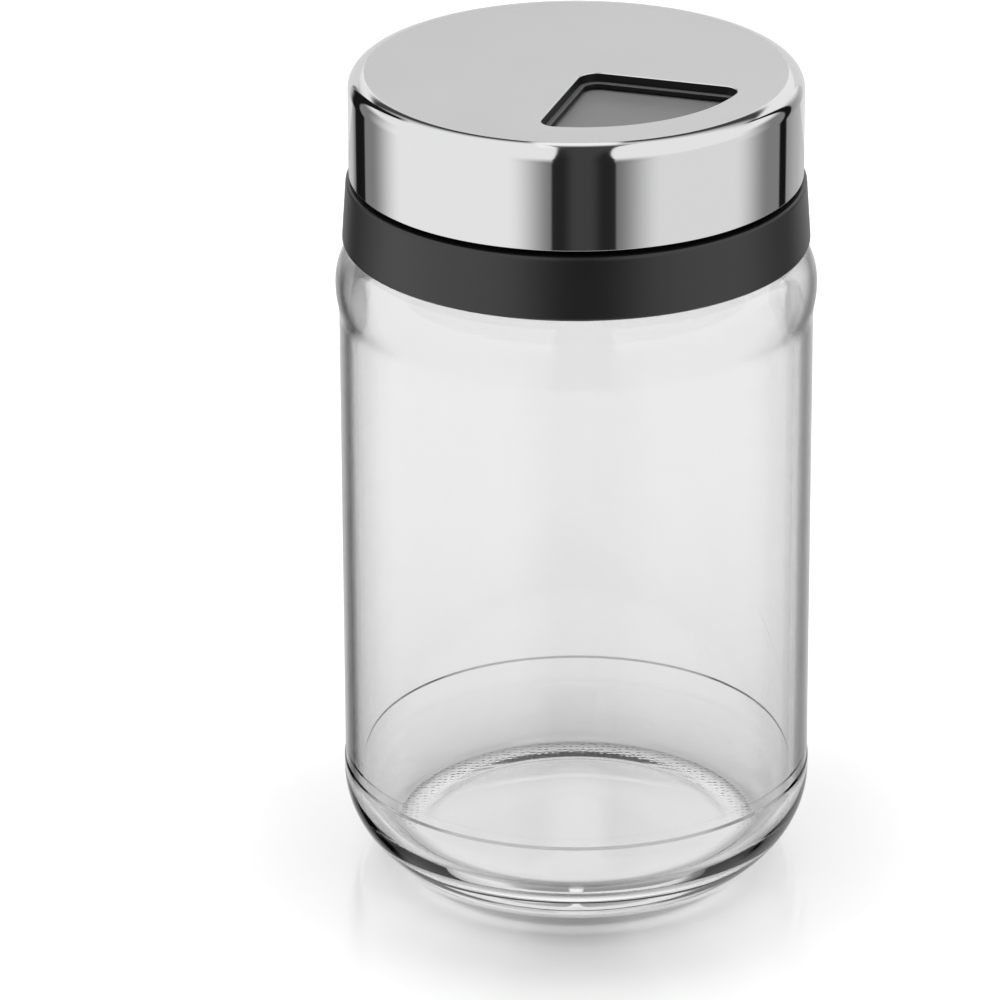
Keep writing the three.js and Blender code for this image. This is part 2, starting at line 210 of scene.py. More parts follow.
class ShakerSettings(bpy.types.PropertyGroup):
    """All the shaker's settings."""

    jar: PointerProperty(type=JarSettings)
    collar: PointerProperty(type=CollarSettings)
    disc: PointerProperty(type=DiscSettings)
    cap: PointerProperty(type=CapSettings)
    stage: PointerProperty(type=StageSettings)


class Outline:
    """A chain of points that is turned round the Z axis, or filled and raised."""

    def __init__(self, start, upright=True):
        self.bm = bmesh.new()
        self.first = self.bm.verts.new(start)
        self.last = self.first
        self.axis = (0, -1, 0) if upright else (0, 0, 1)

    def to(self, point, cuts=0):
        """A straight line to a point, cut into equal parts."""
        start = self.last.co.copy()
        for i in range(cuts + 1):
            made = bmesh.ops.extrude_vert_indiv(self.bm, verts=[self.last])
            self.last = made["verts"][0]
            self.last.co = start.lerp(Vector(point), (i + 1) / (cuts + 1))

    def through(self, *points):
        """Straight lines through points that are given by their radius and height."""
        for radius, height in points:
            self.to((radius, 0, height))

    def arc(self, centre, turn, stretch=1, steps=arc_steps):
        """An arc round a centre. Stretch makes it an ellipse that is so much taller."""
        middle = Vector(centre)
        before = set(self.bm.verts) - {self.last}
        self.last.co.z = middle.z + (self.last.co.z - middle.z) / stretch
        made = bmesh.ops.spin(
            self.bm, geom=[self.last], cent=middle, axis=self.axis, angle=turn, steps=steps
        )
        self.last = next(item for item in made["geom_last"] if isinstance(item, bmesh.types.BMVert))
        bmesh.ops.scale(
            self.bm,
            vec=(1, 1, stretch),
            space=Matrix.Translation(-middle),
            verts=[v for v in self.bm.verts if v not in before],
        )

    def close(self):
        """Joins the last point to the first."""
        if (self.last.co - self.first.co).length > tiny:
            bmesh.ops.contextual_create(self.bm, geom=[self.last, self.first])
        bmesh.ops.remove_doubles(self.bm, verts=self.bm.verts, dist=tiny)
        return self

    def turned(self):
        """The body of revolution, with its flat discs as one face each."""
        bmesh.ops.spin(
            self.bm,
            geom=self.bm.verts[:] + self.bm.edges[:],
            cent=(0, 0, 0),
            axis=(0, 0, 1),
            angle=full_turn,
            steps=round_steps,
            use_merge=True,
        )
        bmesh.ops.remove_doubles(self.bm, verts=self.bm.verts, dist=tiny)
        on_axis = [v for v in self.bm.verts if v.co.xy.length < tiny]
        bmesh.ops.dissolve_verts(self.bm, verts=on_axis)
        bmesh.ops.recalc_face_normals(self.bm, faces=self.bm.faces)
        return self.bm

    def raised(self, top):
        """The prism between the outline and a height."""
        faces = bmesh.ops.contextual_create(self.bm, geom=self.bm.edges)["faces"]
        rise = (0, 0, top - faces[0].calc_center_median().z)
        made = bmesh.ops.extrude_face_region(self.bm, geom=faces)["geom"]
        lifted = [item for item in made if isinstance(item, bmesh.types.BMVert)]
        bmesh.ops.translate(self.bm, vec=rise, verts=lifted)
        bmesh.ops.recalc_face_normals(self.bm, faces=self.bm.faces)
        return self.bm


def made_object(name, bm):
    """Puts a bmesh into a new object in the scene."""
    mesh = bpy.data.meshes.new(name)
    bm.to_mesh(mesh)
    bm.free()
    made = bpy.data.objects.new(name, mesh)
    bpy.context.scene.collection.objects.link(made)
    return made


def flat_sheet(name, width, matrix):
    """A square sheet as one face, moved and stretched by a matrix."""
    bm = bmesh.new()
    bmesh.ops.create_grid(bm, x_segments=1, y_segments=1, size=width / 2, matrix=matrix)
    return made_object(name, bm)


def cut(piece, tool_bm, operation="DIFFERENCE"):
    """Takes a shape out of a piece, or joins it on."""
    tool = made_object("tool", tool_bm)
    modifier = piece.modifiers.new("cut", "BOOLEAN")
    modifier.operation = operation
    modifier.solver = "EXACT"
    modifier.object = tool
    graph = bpy.context.evaluated_depsgraph_get()
    mesh = bpy.data.meshes.new_from_object(piece.evaluated_get(graph))
    piece.modifiers.clear()
    old = piece.data
    piece.data = mesh
    bpy.data.meshes.remove(old)
    bpy.data.meshes.remove(tool.data)


def soften(bm, items, offset, segments, affect="EDGES"):
    """Rounds edges, or the corners of an outline."""
    bmesh.ops.bevel(
        bm, geom=items, offset=offset, segments=segments, profile=0.5, affect=affect, material=-1
    )


def round_rims(piece, height, offset, segments=3):
    """Rounds the sharp edges that lie at a height."""
    bm = bmesh.new()
    bm.from_mesh(piece.data)
    rims = []
    for edge in bm.edges:
        level = all(abs(v.co.z - height) < tiny for v in edge.verts)
        if level and len(edge.link_faces) == 2 and edge.calc_face_angle() > rim_angle:
            rims.append(edge)
    if not rims:
        raise RuntimeError(f"{piece.name} has no rim at height {height}")
    soften(bm, rims, offset, segments)
    bm.to_mesh(piece.data)
    bm.free()


def finish_piece(piece, body, node, material):
    """Shades a piece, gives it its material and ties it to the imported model."""
    full_weight = 100
    mesh = piece.data
    mesh.shade_smooth()
    mesh.set_sharp_from_angle(angle=smooth_angle)
    weighted = piece.modifiers.new("flat faces stay flat", "WEIGHTED_NORMAL")
    weighted.mode = "FACE_AREA"
    weighted.weight = full_weight
    weighted.keep_sharp = True
    mesh.materials.clear()
    mesh.materials.append(material)
    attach(piece, body)
    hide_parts(node)


def add_thread(verts, wall_radius, crest_radius, start):
    """Raises a right-hand thread on those points that lie on a wall."""
    thread_pitch = 4 * mm
    thread_turns = 1.125
    root_half_width = 0.9 * mm
    crest_half_width = 0.5 * mm
    fade_share = 0.08
    flank = root_half_width - crest_half_width
    for v in verts:
        if abs(v.co.xy.length - wall_radius) > tiny:
            continue
        bearing = math.atan2(v.co.y, v.co.x) % full_turn / full_turn
        rise = 0
        for lap in range(math.ceil(thread_turns)):
            along = (bearing + lap) / thread_turns
            if along <= 1:
                away = abs(v.co.z - start - thread_pitch * (bearing + lap))
                shape = min(1, max(0, (root_half_width - away) / flank))
                ends = min(1, min(along, 1 - along) / fade_share)
                rise = max(rise, shape * ends)
        scale = 1 + (crest_radius - wall_radius) * rise / wall_radius
        v.co.x *= scale
        v.co.y *= scale


def sector(apex_offset, half_angle, radius, apex_fillet, corner_fillet, bottom):
    """The outline of a sector with rounded corners, about +X and at a height."""
    outward = Vector((math.cos(half_angle), math.sin(half_angle)))
    inward = Vector((math.sin(half_angle), -math.cos(half_angle)))
    reach = radius - corner_fillet
    offset = Vector((apex_offset, 0)) + inward * corner_fillet
    lean = offset.dot(outward)
    corner = offset + outward * (math.sqrt(lean**2 + reach**2 - offset.length_squared) - lean)
    corner_angle = math.atan2(corner.y, corner.x)
    edge_angle = half_angle + quarter
    apex = apex_offset + apex_fillet / math.sin(half_angle)

    def place(x, y, distance, turn):
        return (x + distance * math.cos(turn), y + distance * math.sin(turn), bottom)

    outline = Outline(place(0, 0, radius, -corner_angle), upright=False)
    outline.arc((0, 0, bottom), 2 * corner_angle, steps=4 * arc_steps)
    outline.arc((corner.x, corner.y, bottom), edge_angle - corner_angle)
    outline.to(place(apex, 0, apex_fillet, edge_angle))
    outline.arc((apex, 0, bottom), full_turn - 2 * edge_angle)
    outline.to(place(corner.x, -corner.y, corner_fillet, -edge_angle))
    outline.arc((corner.x, -corner.y, bottom), edge_angle - corner_angle)
    return outline.close()


def sector_cutter(bearing, top, **sizes):
    """A cutter for a sector hole, turned to a bearing."""
    bm = sector(**sizes).raised(top)
    bmesh.ops.rotate(bm, verts=bm.verts, cent=(0, 0, 0), matrix=Matrix.Rotation(bearing, 3, "Z"))
    return bm


def window_cutter(inset, bottom, top=steel_high.z + overrun):
    """A cutter for the window, drawn in by an inset all round."""
    bm = sector_cutter(
        window_bearing,
        top,
        apex_offset=window_apex_offset + inset / math.sin(window_half_angle),
        half_angle=window_half_angle,
        radius=steel_high.x - window_rim_width - inset,
        apex_fillet=window_apex_fillet - inset,
        corner_fillet=window_corner_fillet - inset,
        bottom=bottom,
    )
    aside = Vector((-math.sin(window_bearing), math.cos(window_bearing), 0)) * window_side_shift
    bmesh.ops.translate(bm, vec=aside, verts=bm.verts)
    return bm


class Wire:
    """A socket of a node tree. Arithmetic on it adds Math nodes."""

    def __init__(self, tree, socket=None):
        self.tree = tree
        self.socket = socket

    def node(self, kind, settings, inputs, output=0):
        """Adds a node, sets it up, fills or links its sockets and returns one of its outputs."""
        made = self.tree.nodes.new(kind)
        for name, value in settings.items():
            if name == "stops":
                ramp = made.color_ramp
                while len(ramp.elements) < len(value):
                    ramp.elements.new(1)
                for element, (place, level) in zip(ramp.elements, value):
                    element.position = place
                    element.color = (level, level, level, 1)
            else:
                setattr(made, name, value)
        for key, value in inputs.items():
            if isinstance(value, Wire):
                self.tree.links.new(value.socket, made.inputs[key])
            else:
                made.inputs[key].default_value = value
        return Wire(self.tree, made.outputs[output] if made.outputs else None)

    def maths(self, operation, *values):
        """A Math node."""
        return self.node("ShaderNodeMath", {"operation": operation}, dict(enumerate(values)))

    def __add__(self, other):
        return self.maths("ADD", self, other)

    __radd__ = __add__

    def __sub__(self, other):
        return self.maths("SUBTRACT", self, other)

    def __rsub__(self, other):
        return self.maths("SUBTRACT", other, self)

    def __mul__(self, other):
        return self.maths("MULTIPLY", self, other)

    __rmul__ = __mul__

    def __truediv__(self, other):
        return self.maths("DIVIDE", self, other)

    def __abs__(self):
        return self.maths("ABSOLUTE", self)

    def rising(self, low, high, shape="SMOOTHSTEP"):
        """0 below low and 1 above high, with a soft step between. High may be the lower one."""
        return self.node(
            "ShaderNodeMapRange",
            {"interpolation_type": shape},
            {"Value": self, "From Min": low, "From Max": high},
        )

    def ramp(self, *stops):
        """A level that follows (place, level) stops."""
        return self.node("ShaderNodeValToRGB", {"stops": stops}, {"Fac": self})

    def part(self, name):
        """The x, y or z of a vector."""
        return self.node("ShaderNodeSeparateXYZ", {}, {0: self}, output="XYZ".index(name))

    def mix(self, first, second):
        """Two colours mixed by this share."""
        return self.node("ShaderNodeMix", {"data_type": "RGBA"}, {0: self, 6: first, 7: second}, output=2)


def new_material(name):
    """An empty material, and a wire to build it with."""
    material = bpy.data.materials.new(name)
    material.use_nodes = True
    material.node_tree.nodes.clear()
    return material, Wire(material.node_tree)


def places(wire):
    """Where a point is on the object, in metres."""
    return wire.node("ShaderNodeTexCoord", {}, {}, output="Object")


def noise(wire, size, detail=2, stretch=(1, 1, 1)):
    """Soft noise with features of a size."""
    scaled = wire.node(
        "ShaderNodeMapping", {}, {"Vector": places(wire), "Scale": [s / size for s in stretch]}
    )
    return wire.node("ShaderNodeTexNoise", {}, {"Vector": scaled, "Scale": 1, "Detail": detail})


def bump(wire, height, depth):
    """A normal from a height between 0 and 1 that stands so deep."""
    return wire.node("ShaderNodeBump", {}, {"Height": height, "Distance": depth})


def principled(wire, **inputs):
    """A Principled shader. The words of a socket's name are joined by an underscore."""
    named = {name.replace("_", " ").title(): value for name, value in inputs.items() if name != "ior"}
    if "ior" in inputs:
        named["IOR"] = inputs["ior"]
    return wire.node("ShaderNodeBsdfPrincipled", {}, named)


def end_material(wire, shader):
    """Links the last shader to the material's output."""
    wire.node("ShaderNodeOutputMaterial", {}, {"Surface": shader})


def opaque(rgb):
    """A colour with its alpha."""
    return (*rgb, 1)


def glass_material(settings):
    """Clear soda glass, faintly wavy, with a stippled foot. Shade is painted into its colour along its
    wall and on the step over the heel.
    """
    wave_size = 14 * mm
    wave_depth = 0.012 * mm
    dot_size = 0.6 * mm
    dot_depth = 0.015 * mm
    foot_inner = 15 * mm
    foot_outer = 17 * mm
    foot_height = 0.7 * mm
    outer_side = 20.4 * mm
    soft = 0.2 * mm
    # Darkness and softness of the painted shade on the step over the heel
    step_shade_depth = 0.6
    step_shade_soft = 0.05 * mm
    wave_stretch = (1, 1, 0.45)
    dot_scatter = 0.35
    dot_rim = 0.45
    dot_top = 0.15
    # Levels of the painted wall shade, by how edge-on the wall is seen
    wall_shade_stops = ((0.42, 0), (0.54, 0.12), (0.6, 0.25), (0.66, 0.5), (0.72, 0.9), (0.77, 1))
    wall_shade_stops += ((0.86, 0.95), (0.95, 0.4))
    shadow_tint = (0.97, 0.97, 0.97)
    material, wire = new_material("Clear Glass")
    point = places(wire)
    height = point.part("Z")
    out = from_axis(wire)
    dots = wire.node(
        "ShaderNodeTexVoronoi", {}, {"Vector": point, "Scale": 1 / dot_size, "Randomness": dot_scatter}
    )
    past_inner = out.rising(foot_inner - dot_size, foot_inner)
    within_outer = out.rising(foot_outer + dot_size, foot_outer)
    low = height.rising(foot_height + dot_size, foot_height)
    stipple = dots.rising(dot_rim, dot_top) * past_inner * within_outer * low
    waves = noise(wire, wave_size, stretch=wave_stretch)
    normal = wire.node(
        "ShaderNodeBump",
        {},
        {"Height": stipple, "Distance": dot_depth, "Normal": bump(wire, waves, wave_depth)},
    )
    # Painted shade: the colour darkens as the outer wall above the heel turns edge-on to the view
    facing = wire.node("ShaderNodeLayerWeight", {}, {"Blend": 0.5}, output="Facing")
    on_outside = out.rising(outer_side - soft, outer_side)
    above_heel = height.rising(settings.heel_top, settings.step_bottom)
    painted_wall_shade = facing.ramp(*wall_shade_stops) * on_outside * above_heel
    # Painted shade: a dark line on the outside of the step over the heel
    step_top = settings.step_bottom + settings.step_rise
    over_bottom = height.rising(settings.step_bottom - step_shade_soft, settings.step_bottom)
    under_top = height.rising(step_top + step_shade_soft, step_top)
    step_shade = over_bottom * under_top * on_outside
    # The glass's colour takes the darker of the two painted shades
    dark = wire.maths("MAXIMUM", painted_wall_shade, step_shade * step_shade_depth)
    tint = dark.mix(opaque(settings.tint), opaque(settings.edge_shade_colour))
    body = principled(
        wire, base_color=tint, roughness=0, ior=1.5, transmission_weight=1, normal=normal
    )
    clear = wire.node("ShaderNodeBsdfTransparent", {}, {"Color": opaque(shadow_tint)})
    to_lamp = wire.node("ShaderNodeLightPath", {}, {}, output="Is Shadow Ray")
    end_material(wire, wire.node("ShaderNodeMixShader", {}, {0: to_lamp, 1: body, 2: clear}))
    return material


def from_axis(wire):
    """How far a point is from the Z axis, in metres."""
    flat = wire.node("ShaderNodeVectorMath", {"operation": "MULTIPLY"}, {0: places(wire), 1: (1, 1, 0)})
    return wire.node("ShaderNodeVectorMath", {"operation": "LENGTH"}, {0: flat}, output="Value")


def plastic_material(name, rgb, roughness, ior, grain_depth, ledge=None):
    """Moulded plastic with fine grain and slightly uneven gloss. A painted highlight pales a ledge at a
    height.
    """
    ledge_highlight = (0.1, 0.1, 0.1)
    highlight_band = 0.02 * mm
    grain_size = 0.16 * mm
    cloud_size = 6 * mm
    gloss_spread = 0.12
    shade_spread = 0.25
    material, wire = new_material(name)
    clouds = noise(wire, cloud_size)
    grain = noise(wire, grain_size, detail=3)
    lighter = [min(1, c * (1 + shade_spread)) for c in rgb]
    tint = clouds.mix(opaque(rgb), opaque(lighter))
    # Painted highlight: a thin pale band along the ledge's top, where it catches the light
    if ledge is not None:
        height = places(wire).part("Z")
        over = height.rising(ledge - 2 * highlight_band, ledge - highlight_band)
        under = height.rising(ledge + 2 * highlight_band, ledge + highlight_band)
        tint = (over * under).mix(tint, opaque(ledge_highlight))
    shader = principled(
        wire,
        base_color=tint,
        roughness=roughness * (1 - gloss_spread / 2 + gloss_spread * clouds),
        ior=ior,
        normal=bump(wire, grain, grain_depth),
    )
    end_material(wire, shader)
    return material


def steel_material(settings):
    """Drawn steel: satin on its flat top, polished round its side."""
    satin = 0.3
    polish = 0.055
    satin_radius = steel_high.x - settings.corner_radius
    satin_edge = 0.06 * mm
    scratch_size = 0.09 * mm
    smear_size = 7 * mm
    scratch_depth = 0.0006 * mm
    scratch_stretch = (0.02, 1, 1)
    smear_spread = 0.25
    material, wire = new_material("Satin Steel")
    height = places(wire).part("Z")
    flat = height.rising(steel_high.z - settings.gauge, steel_high.z - settings.gauge / 2)
    on_top = from_axis(wire).rising(satin_radius + satin_edge, satin_radius) * flat
    smears = noise(wire, smear_size, detail=3)
    scratches = noise(wire, scratch_size, stretch=scratch_stretch)
    roughness = polish + (satin - polish) * on_top
    shader = principled(
        wire,
        base_color=on_top.mix(opaque(settings.steel), opaque(settings.satin)),
        metallic=1,
        roughness=roughness * (1 - smear_spread / 2 + smear_spread * smears),
        normal=bump(wire, scratches * on_top, scratch_depth),
    )
    end_material(wire, shader)
    return material


def silicone_material():
    """Soft milky silicone with a matte bloom."""
    rgb = (0.78, 0.78, 0.75)
    darker = (0.7, 0.7, 0.66)
    cloud_size = 2.5 * mm
    grain_size = 0.12 * mm
    grain_depth = 0.01 * mm
    bloom = 0.45
    bloom_spread = 0.15
    material, wire = new_material("Silicone")
    clouds = noise(wire, cloud_size)
    shader = principled(
        wire,
        base_color=clouds.mix(opaque(rgb), opaque(darker)),
        roughness=bloom + bloom_spread * clouds,
        normal=bump(wire, noise(wire, grain_size, detail=3), grain_depth),
    )
    end_material(wire, shader)
    return material


class SHAKER_OT_jar(bpy.types.Operator):
    """Make the glass jar with its threaded neck, shoulder bead and raised bottom"""

    bl_idname = "shaker.jar"
    bl_label = "Glass Jar"

    def execute(self, context):
        jar = context.scene.shaker.jar
        shoulder_gap_fillet = 0.4 * mm
        mouth_fillet = 0.8 * mm
        lip = 0.45 * mm
        shoulder_curve = 3.6 * mm
        shoulder_drop = 5.4 * mm
        step_fillet = 0.04 * mm
        edge = 0.35 * mm
        land_width = 2 * mm
        slope_width = 2.3 * mm
        push_up_edge = 0.35 * mm
        push_up_centre = 0.75 * mm
        floor_height = 2.4 * mm
        floor_curve = 4.6 * mm
        thread_start = 3.7 * mm
        neck_cuts = 110

        top = jar_high.z
        bead_radius = jar_high.x
        bead_axis = bead_radius - jar.bead_depth
        bead_centre = jar.shoulder_height - jar.bead_rise
        heel_top_radius = jar.body_radius + jar.heel_step
        heel_axis = heel_top_radius - jar.heel_width
        heel_sweep = math.asin(jar.heel_top / jar.heel_height)
        heel_stretch = jar.heel_height / jar.heel_width
        foot_radius = heel_axis + jar.heel_width * math.cos(heel_sweep)
        foot_outer = foot_radius - edge
        foot_inner = foot_outer - land_width
        inner_radius = jar.body_radius - jar.wall
        ceiling = jar.shoulder_height - jar.wall
        swell = bead_radius - jar.body_radius
        swell_length = bead_centre - jar.bead_start
        swell_radius = (swell_length**2 + swell**2) / (4 * swell)
        swell_turn = 2 * math.atan(swell / swell_length)

        outline = Outline((0, 0, push_up_centre))
        outline.to((foot_inner - slope_width, 0, push_up_edge), cuts=2)
        outline.to((foot_inner, 0, 0), cuts=1)
        outline.to((foot_outer, 0, 0), cuts=1)
        outline.to((foot_radius, 0, 0))
        corner = outline.last
        outline.arc((heel_axis, 0, jar.heel_top), heel_sweep, heel_stretch, 4 * arc_steps)
        outline.to((heel_top_radius, 0, jar.step_bottom))
        step_foot = outline.last
        outline.to((jar.body_radius, 0, jar.step_bottom + jar.step_rise))
        step_head = outline.last
        outline.to((jar.body_radius, 0, jar.bead_start), cuts=10)
        outline.arc((jar.body_radius + swell_radius, 0, jar.bead_start), -swell_turn)
        outline.arc((bead_radius - swell_radius, 0, bead_centre), swell_turn)
        outline.arc((bead_axis, 0, bead_centre), quarter, jar.bead_rise / jar.bead_depth, 3 * arc_steps)
        outline.to((jar.neck_radius, 0, jar.shoulder_height))
        root = outline.last
        outline.to((jar.neck_radius, 0, top - lip), cuts=neck_cuts)
        outline.arc((jar.neck_radius - lip, 0, top - lip), quarter)
        outline.to((jar.mouth_radius + lip, 0, top))
        outline.arc((jar.mouth_radius + lip, 0, top - lip), quarter)
        outline.to((jar.mouth_radius, 0, ceiling + mouth_fillet), cuts=8)
        outline.arc((jar.mouth_radius + mouth_fillet, 0, ceiling + mouth_fillet), quarter)
        shoulder_axis = inner_radius - shoulder_curve
        outline.to((shoulder_axis, 0, ceiling))
        outline.arc(
            (shoulder_axis, 0, ceiling - shoulder_drop),
            -quarter,
            shoulder_drop / shoulder_curve,
            3 * arc_steps,
        )
        outline.to((inner_radius, 0, jar.heel_top), cuts=10)
        outline.arc(
            (inner_radius - floor_curve, 0, jar.heel_top),
            -quarter,
            (jar.heel_top - floor_height) / floor_curve,
            3 * arc_steps,
        )
        outline.to((0, 0, floor_height), cuts=3)
        softened = (
            (corner, edge),
            (step_foot, step_fillet),
            (step_head, step_fillet),
            (root, shoulder_gap_fillet),
        )
        for vert, size in softened:
            soften(outline.bm, [vert], size, arc_steps // 2, affect="VERTICES")
        bm = outline.turned()
        crest_radius = jar.neck_radius + jar.thread_height
        add_thread(bm.verts, jar.neck_radius, crest_radius, jar.shoulder_height + thread_start)
        piece = made_object("jar_glass", bm)
        finish_piece(piece, "jar", "glass_jar", glass_material(jar))
        return {"FINISHED"}


class SHAKER_OT_seal(bpy.types.Operator):
    """Make the soft ring that seals the jar's mouth"""

    bl_idname = "shaker.seal"
    bl_label = "Seal Ring"

    def execute(self, context):
        edge = 0.2 * mm
        inner = context.scene.shaker.collar.ledge_bore
        outer = seal_high.x
        low, high = seal_low.z, seal_high.z
        outline = Outline((inner + edge, 0, low))
        outline.to((outer - edge, 0, low))
        outline.arc((outer - edge, 0, low + edge), quarter)
        outline.to((outer, 0, high - edge))
        outline.arc((outer - edge, 0, high - edge), quarter)
        outline.to((inner + edge, 0, high))
        outline.arc((inner + edge, 0, high - edge), quarter)
        outline.to((inner, 0, low + edge))
        outline.arc((inner + edge, 0, low + edge), quarter)
        piece = made_object("seal_soft", outline.close().turned())
        finish_piece(piece, "seal", "seal_ring", silicone_material())
        return {"FINISHED"}


class SHAKER_OT_collar(bpy.types.Operator):
    """Make the black screw collar with its skirt, threaded tube and ledge"""

    bl_idname = "shaker.collar"
    bl_label = "Screw Collar"

    def execute(self, context):
        collar = context.scene.shaker.collar
        jar = context.scene.shaker.jar
        web = 1.2 * mm
        flank = 0.3 * mm
        land = 0.6 * mm
        seal_gap = 0.1 * mm
        seat_gap = 0.05 * mm
        crest_gap = 0.3 * mm
        thread_start = 61.05 * mm
        bore_cuts = 120
        grain_depth = 0.004 * mm

        foot = collar_high.x
        bottom = collar_low.z
        crown = foot - collar.draft
        edge = collar.edge_radius
        under_web = collar.top - web
        lean = math.atan2(collar.draft, collar.top - bottom)
        bead_land = collar.bead_bottom + flank
        ledge_top = disc_high.z - context.scene.shaker.disc.thickness - seat_gap
        ledge_under = seal_high.z + seal_gap

        outline = Outline((collar.tube_bore, 0, bottom))
        outline.through(
            (collar.tube_outer, bottom),
            (collar.tube_outer, under_web),
            (crown - collar.skirt_wall, under_web),
            (foot - collar.skirt_wall, bottom),
            (foot - edge, bottom),
        )
        outline.arc((foot - edge, 0, bottom + edge), quarter + lean)
        outline.to((crown - edge + edge * math.cos(lean), 0, collar.top - edge + edge * math.sin(lean)))
        outline.arc((crown - edge, 0, collar.top - edge), quarter - lean)
        outline.through(
            (collar.tube_outer, collar.top),
            (collar.tube_outer, collar.bead_bottom),
            (collar.bead_radius, bead_land),
            (collar.bead_radius, bead_land + land),
            (collar.tube_outer, bead_land + land + flank),
            (collar.tube_outer, collar_high.z),
            (collar.tube_bore, collar_high.z),
            (collar.tube_bore, ledge_top),
            (collar.ledge_bore, ledge_top),
            (collar.ledge_bore, ledge_under),
            (collar.tube_bore, ledge_under),
        )
        outline.to((collar.tube_bore, 0, bottom), cuts=bore_cuts)
        bm = outline.close().turned()
        bore = [v for v in bm.verts if v.co.z < ledge_under - tiny]
        add_thread(bore, collar.tube_bore, jar.neck_radius + crest_gap, thread_start)
        piece = made_object("lid_collar", bm)
        material = plastic_material(
            "Black Plastic", collar.base, roughness=0.34, ior=1.6, grain_depth=grain_depth
        )
        finish_piece(piece, "collar", "threaded_collar", material)
        return {"FINISHED"}


class SHAKER_OT_disc(bpy.types.Operator):
    """Make the sifter disc with its holes and its pouring hole"""

    bl_idname = "shaker.disc"
    bl_label = "Sifter Disc"

    def execute(self, context):
        disc = context.scene.shaker.disc
        edge = 0.2 * mm
        pour_half_angle = math.radians(38)
        pour_apex_offset = 2.6 * mm
        pour_margin = 0.8 * mm
        pour_fillet = 1 * mm
        grain_depth = 0.002 * mm

        outer = disc_high.x
        top = disc_high.z
        under = top - disc.thickness
        spigot_inner = disc.spigot_outer - disc.spigot_wall
        outline = Outline((0, 0, under))
        outline.through(
            (spigot_inner, under),
            (spigot_inner, disc_low.z),
            (disc.spigot_outer, disc_low.z),
            (disc.spigot_outer, under),
            (outer, under),
            (outer, top - edge),
        )
        outline.arc((outer - edge, 0, top - edge), quarter)
        outline.to((0, 0, top))
        piece = made_object("sifter_plate", outline.turned())
        cut(
            piece,
            sector_cutter(
                window_bearing + math.pi,
                top + overrun,
                apex_offset=pour_apex_offset,
                half_angle=pour_half_angle,
                radius=spigot_inner - pour_margin,
                apex_fillet=pour_fillet,
                corner_fillet=pour_fillet,
                bottom=under - overrun,
            ),
        )
        holes = bmesh.new()
        for row_holes, row_share in zip(sifter_row_holes, sifter_row_shares):
            for i in range(row_holes):
                bearing = window_bearing + quarter + disc.hole_spread * (i / (row_holes - 1) - 0.5)
                place = Vector((math.cos(bearing), math.sin(bearing), 0)) * spigot_inner * row_share
                place.z = (top + under) / 2
                bmesh.ops.create_cone(
                    holes,
                    cap_ends=True,
                    segments=hole_steps,
                    radius1=disc.hole_radius,
                    radius2=disc.hole_radius,
                    depth=disc.thickness + 2 * overrun,
                    matrix=Matrix.Translation(place),
                )
        cut(piece, holes)
        round_rims(piece, top, disc.edge_roll)
        round_rims(piece, under, disc.edge_roll)
        material = plastic_material(
            "Disc Plastic", disc.base, roughness=0.45, ior=1.6, grain_depth=grain_depth
        )
        finish_piece(piece, "collar", "sifter_disc", material)
        return {"FINISHED"}


class SHAKER_OT_liner(bpy.types.Operator):
    """Make the black liner inside the cap, with the stepped frame in its window"""

    bl_idname = "shaker.liner"
    bl_label = "Cap Liner"

    def execute(self, context):
        cap = context.scene.shaker.cap
        lead_height = 0.4 * mm
        land_height = 0.5 * mm
        return_height = 0.3 * mm
        lead_depth = 0.3 * mm
        frame_inset = 0.05 * mm
        lip_gap = 0.01 * mm
        lip_drop = 0.07 * mm
        ledge_edge = 0.05 * mm
        grain_depth = 0.004 * mm

        outer = liner_high.x
        inner = outer - cap.liner_wall
        bottom = liner_low.z
        top = liner_high.z
        under = top - cap.liner_deck
        corner = cap.corner_radius - cap.gauge
        land = bottom + lead_height
        snap_top = land + land_height
        outline = Outline((0, 0, under))
        outline.through(
            (inner, under),
            (inner, snap_top + return_height),
            (cap.snap_radius, snap_top),
            (cap.snap_radius, land),
            (cap.snap_radius + lead_depth, bottom),
            (outer, bottom),
            (outer, top - corner),
        )
        outline.arc((outer - corner, 0, top - corner), quarter)
        outline.to((0, 0, top))
        piece = made_object("lid_liner", outline.turned())
        ledge = under + cap.ledge_thickness
        cut(piece, window_cutter(lip_gap, ledge, steel_high.z - lip_drop), "UNION")
        cut(piece, window_cutter(frame_inset, ledge))
        cut(piece, window_cutter(frame_inset + cap.ledge_width, under - overrun))
        round_rims(piece, ledge, ledge_edge, segments=2)
        # The liner's ledge gets a painted highlight along its top
        material = plastic_material(
            "Liner Plastic", cap.liner, roughness=0.4, ior=1.35, grain_depth=grain_depth, ledge=ledge
        )
        finish_piece(piece, "cap", "cap_liner", material)
        return {"FINISHED"}


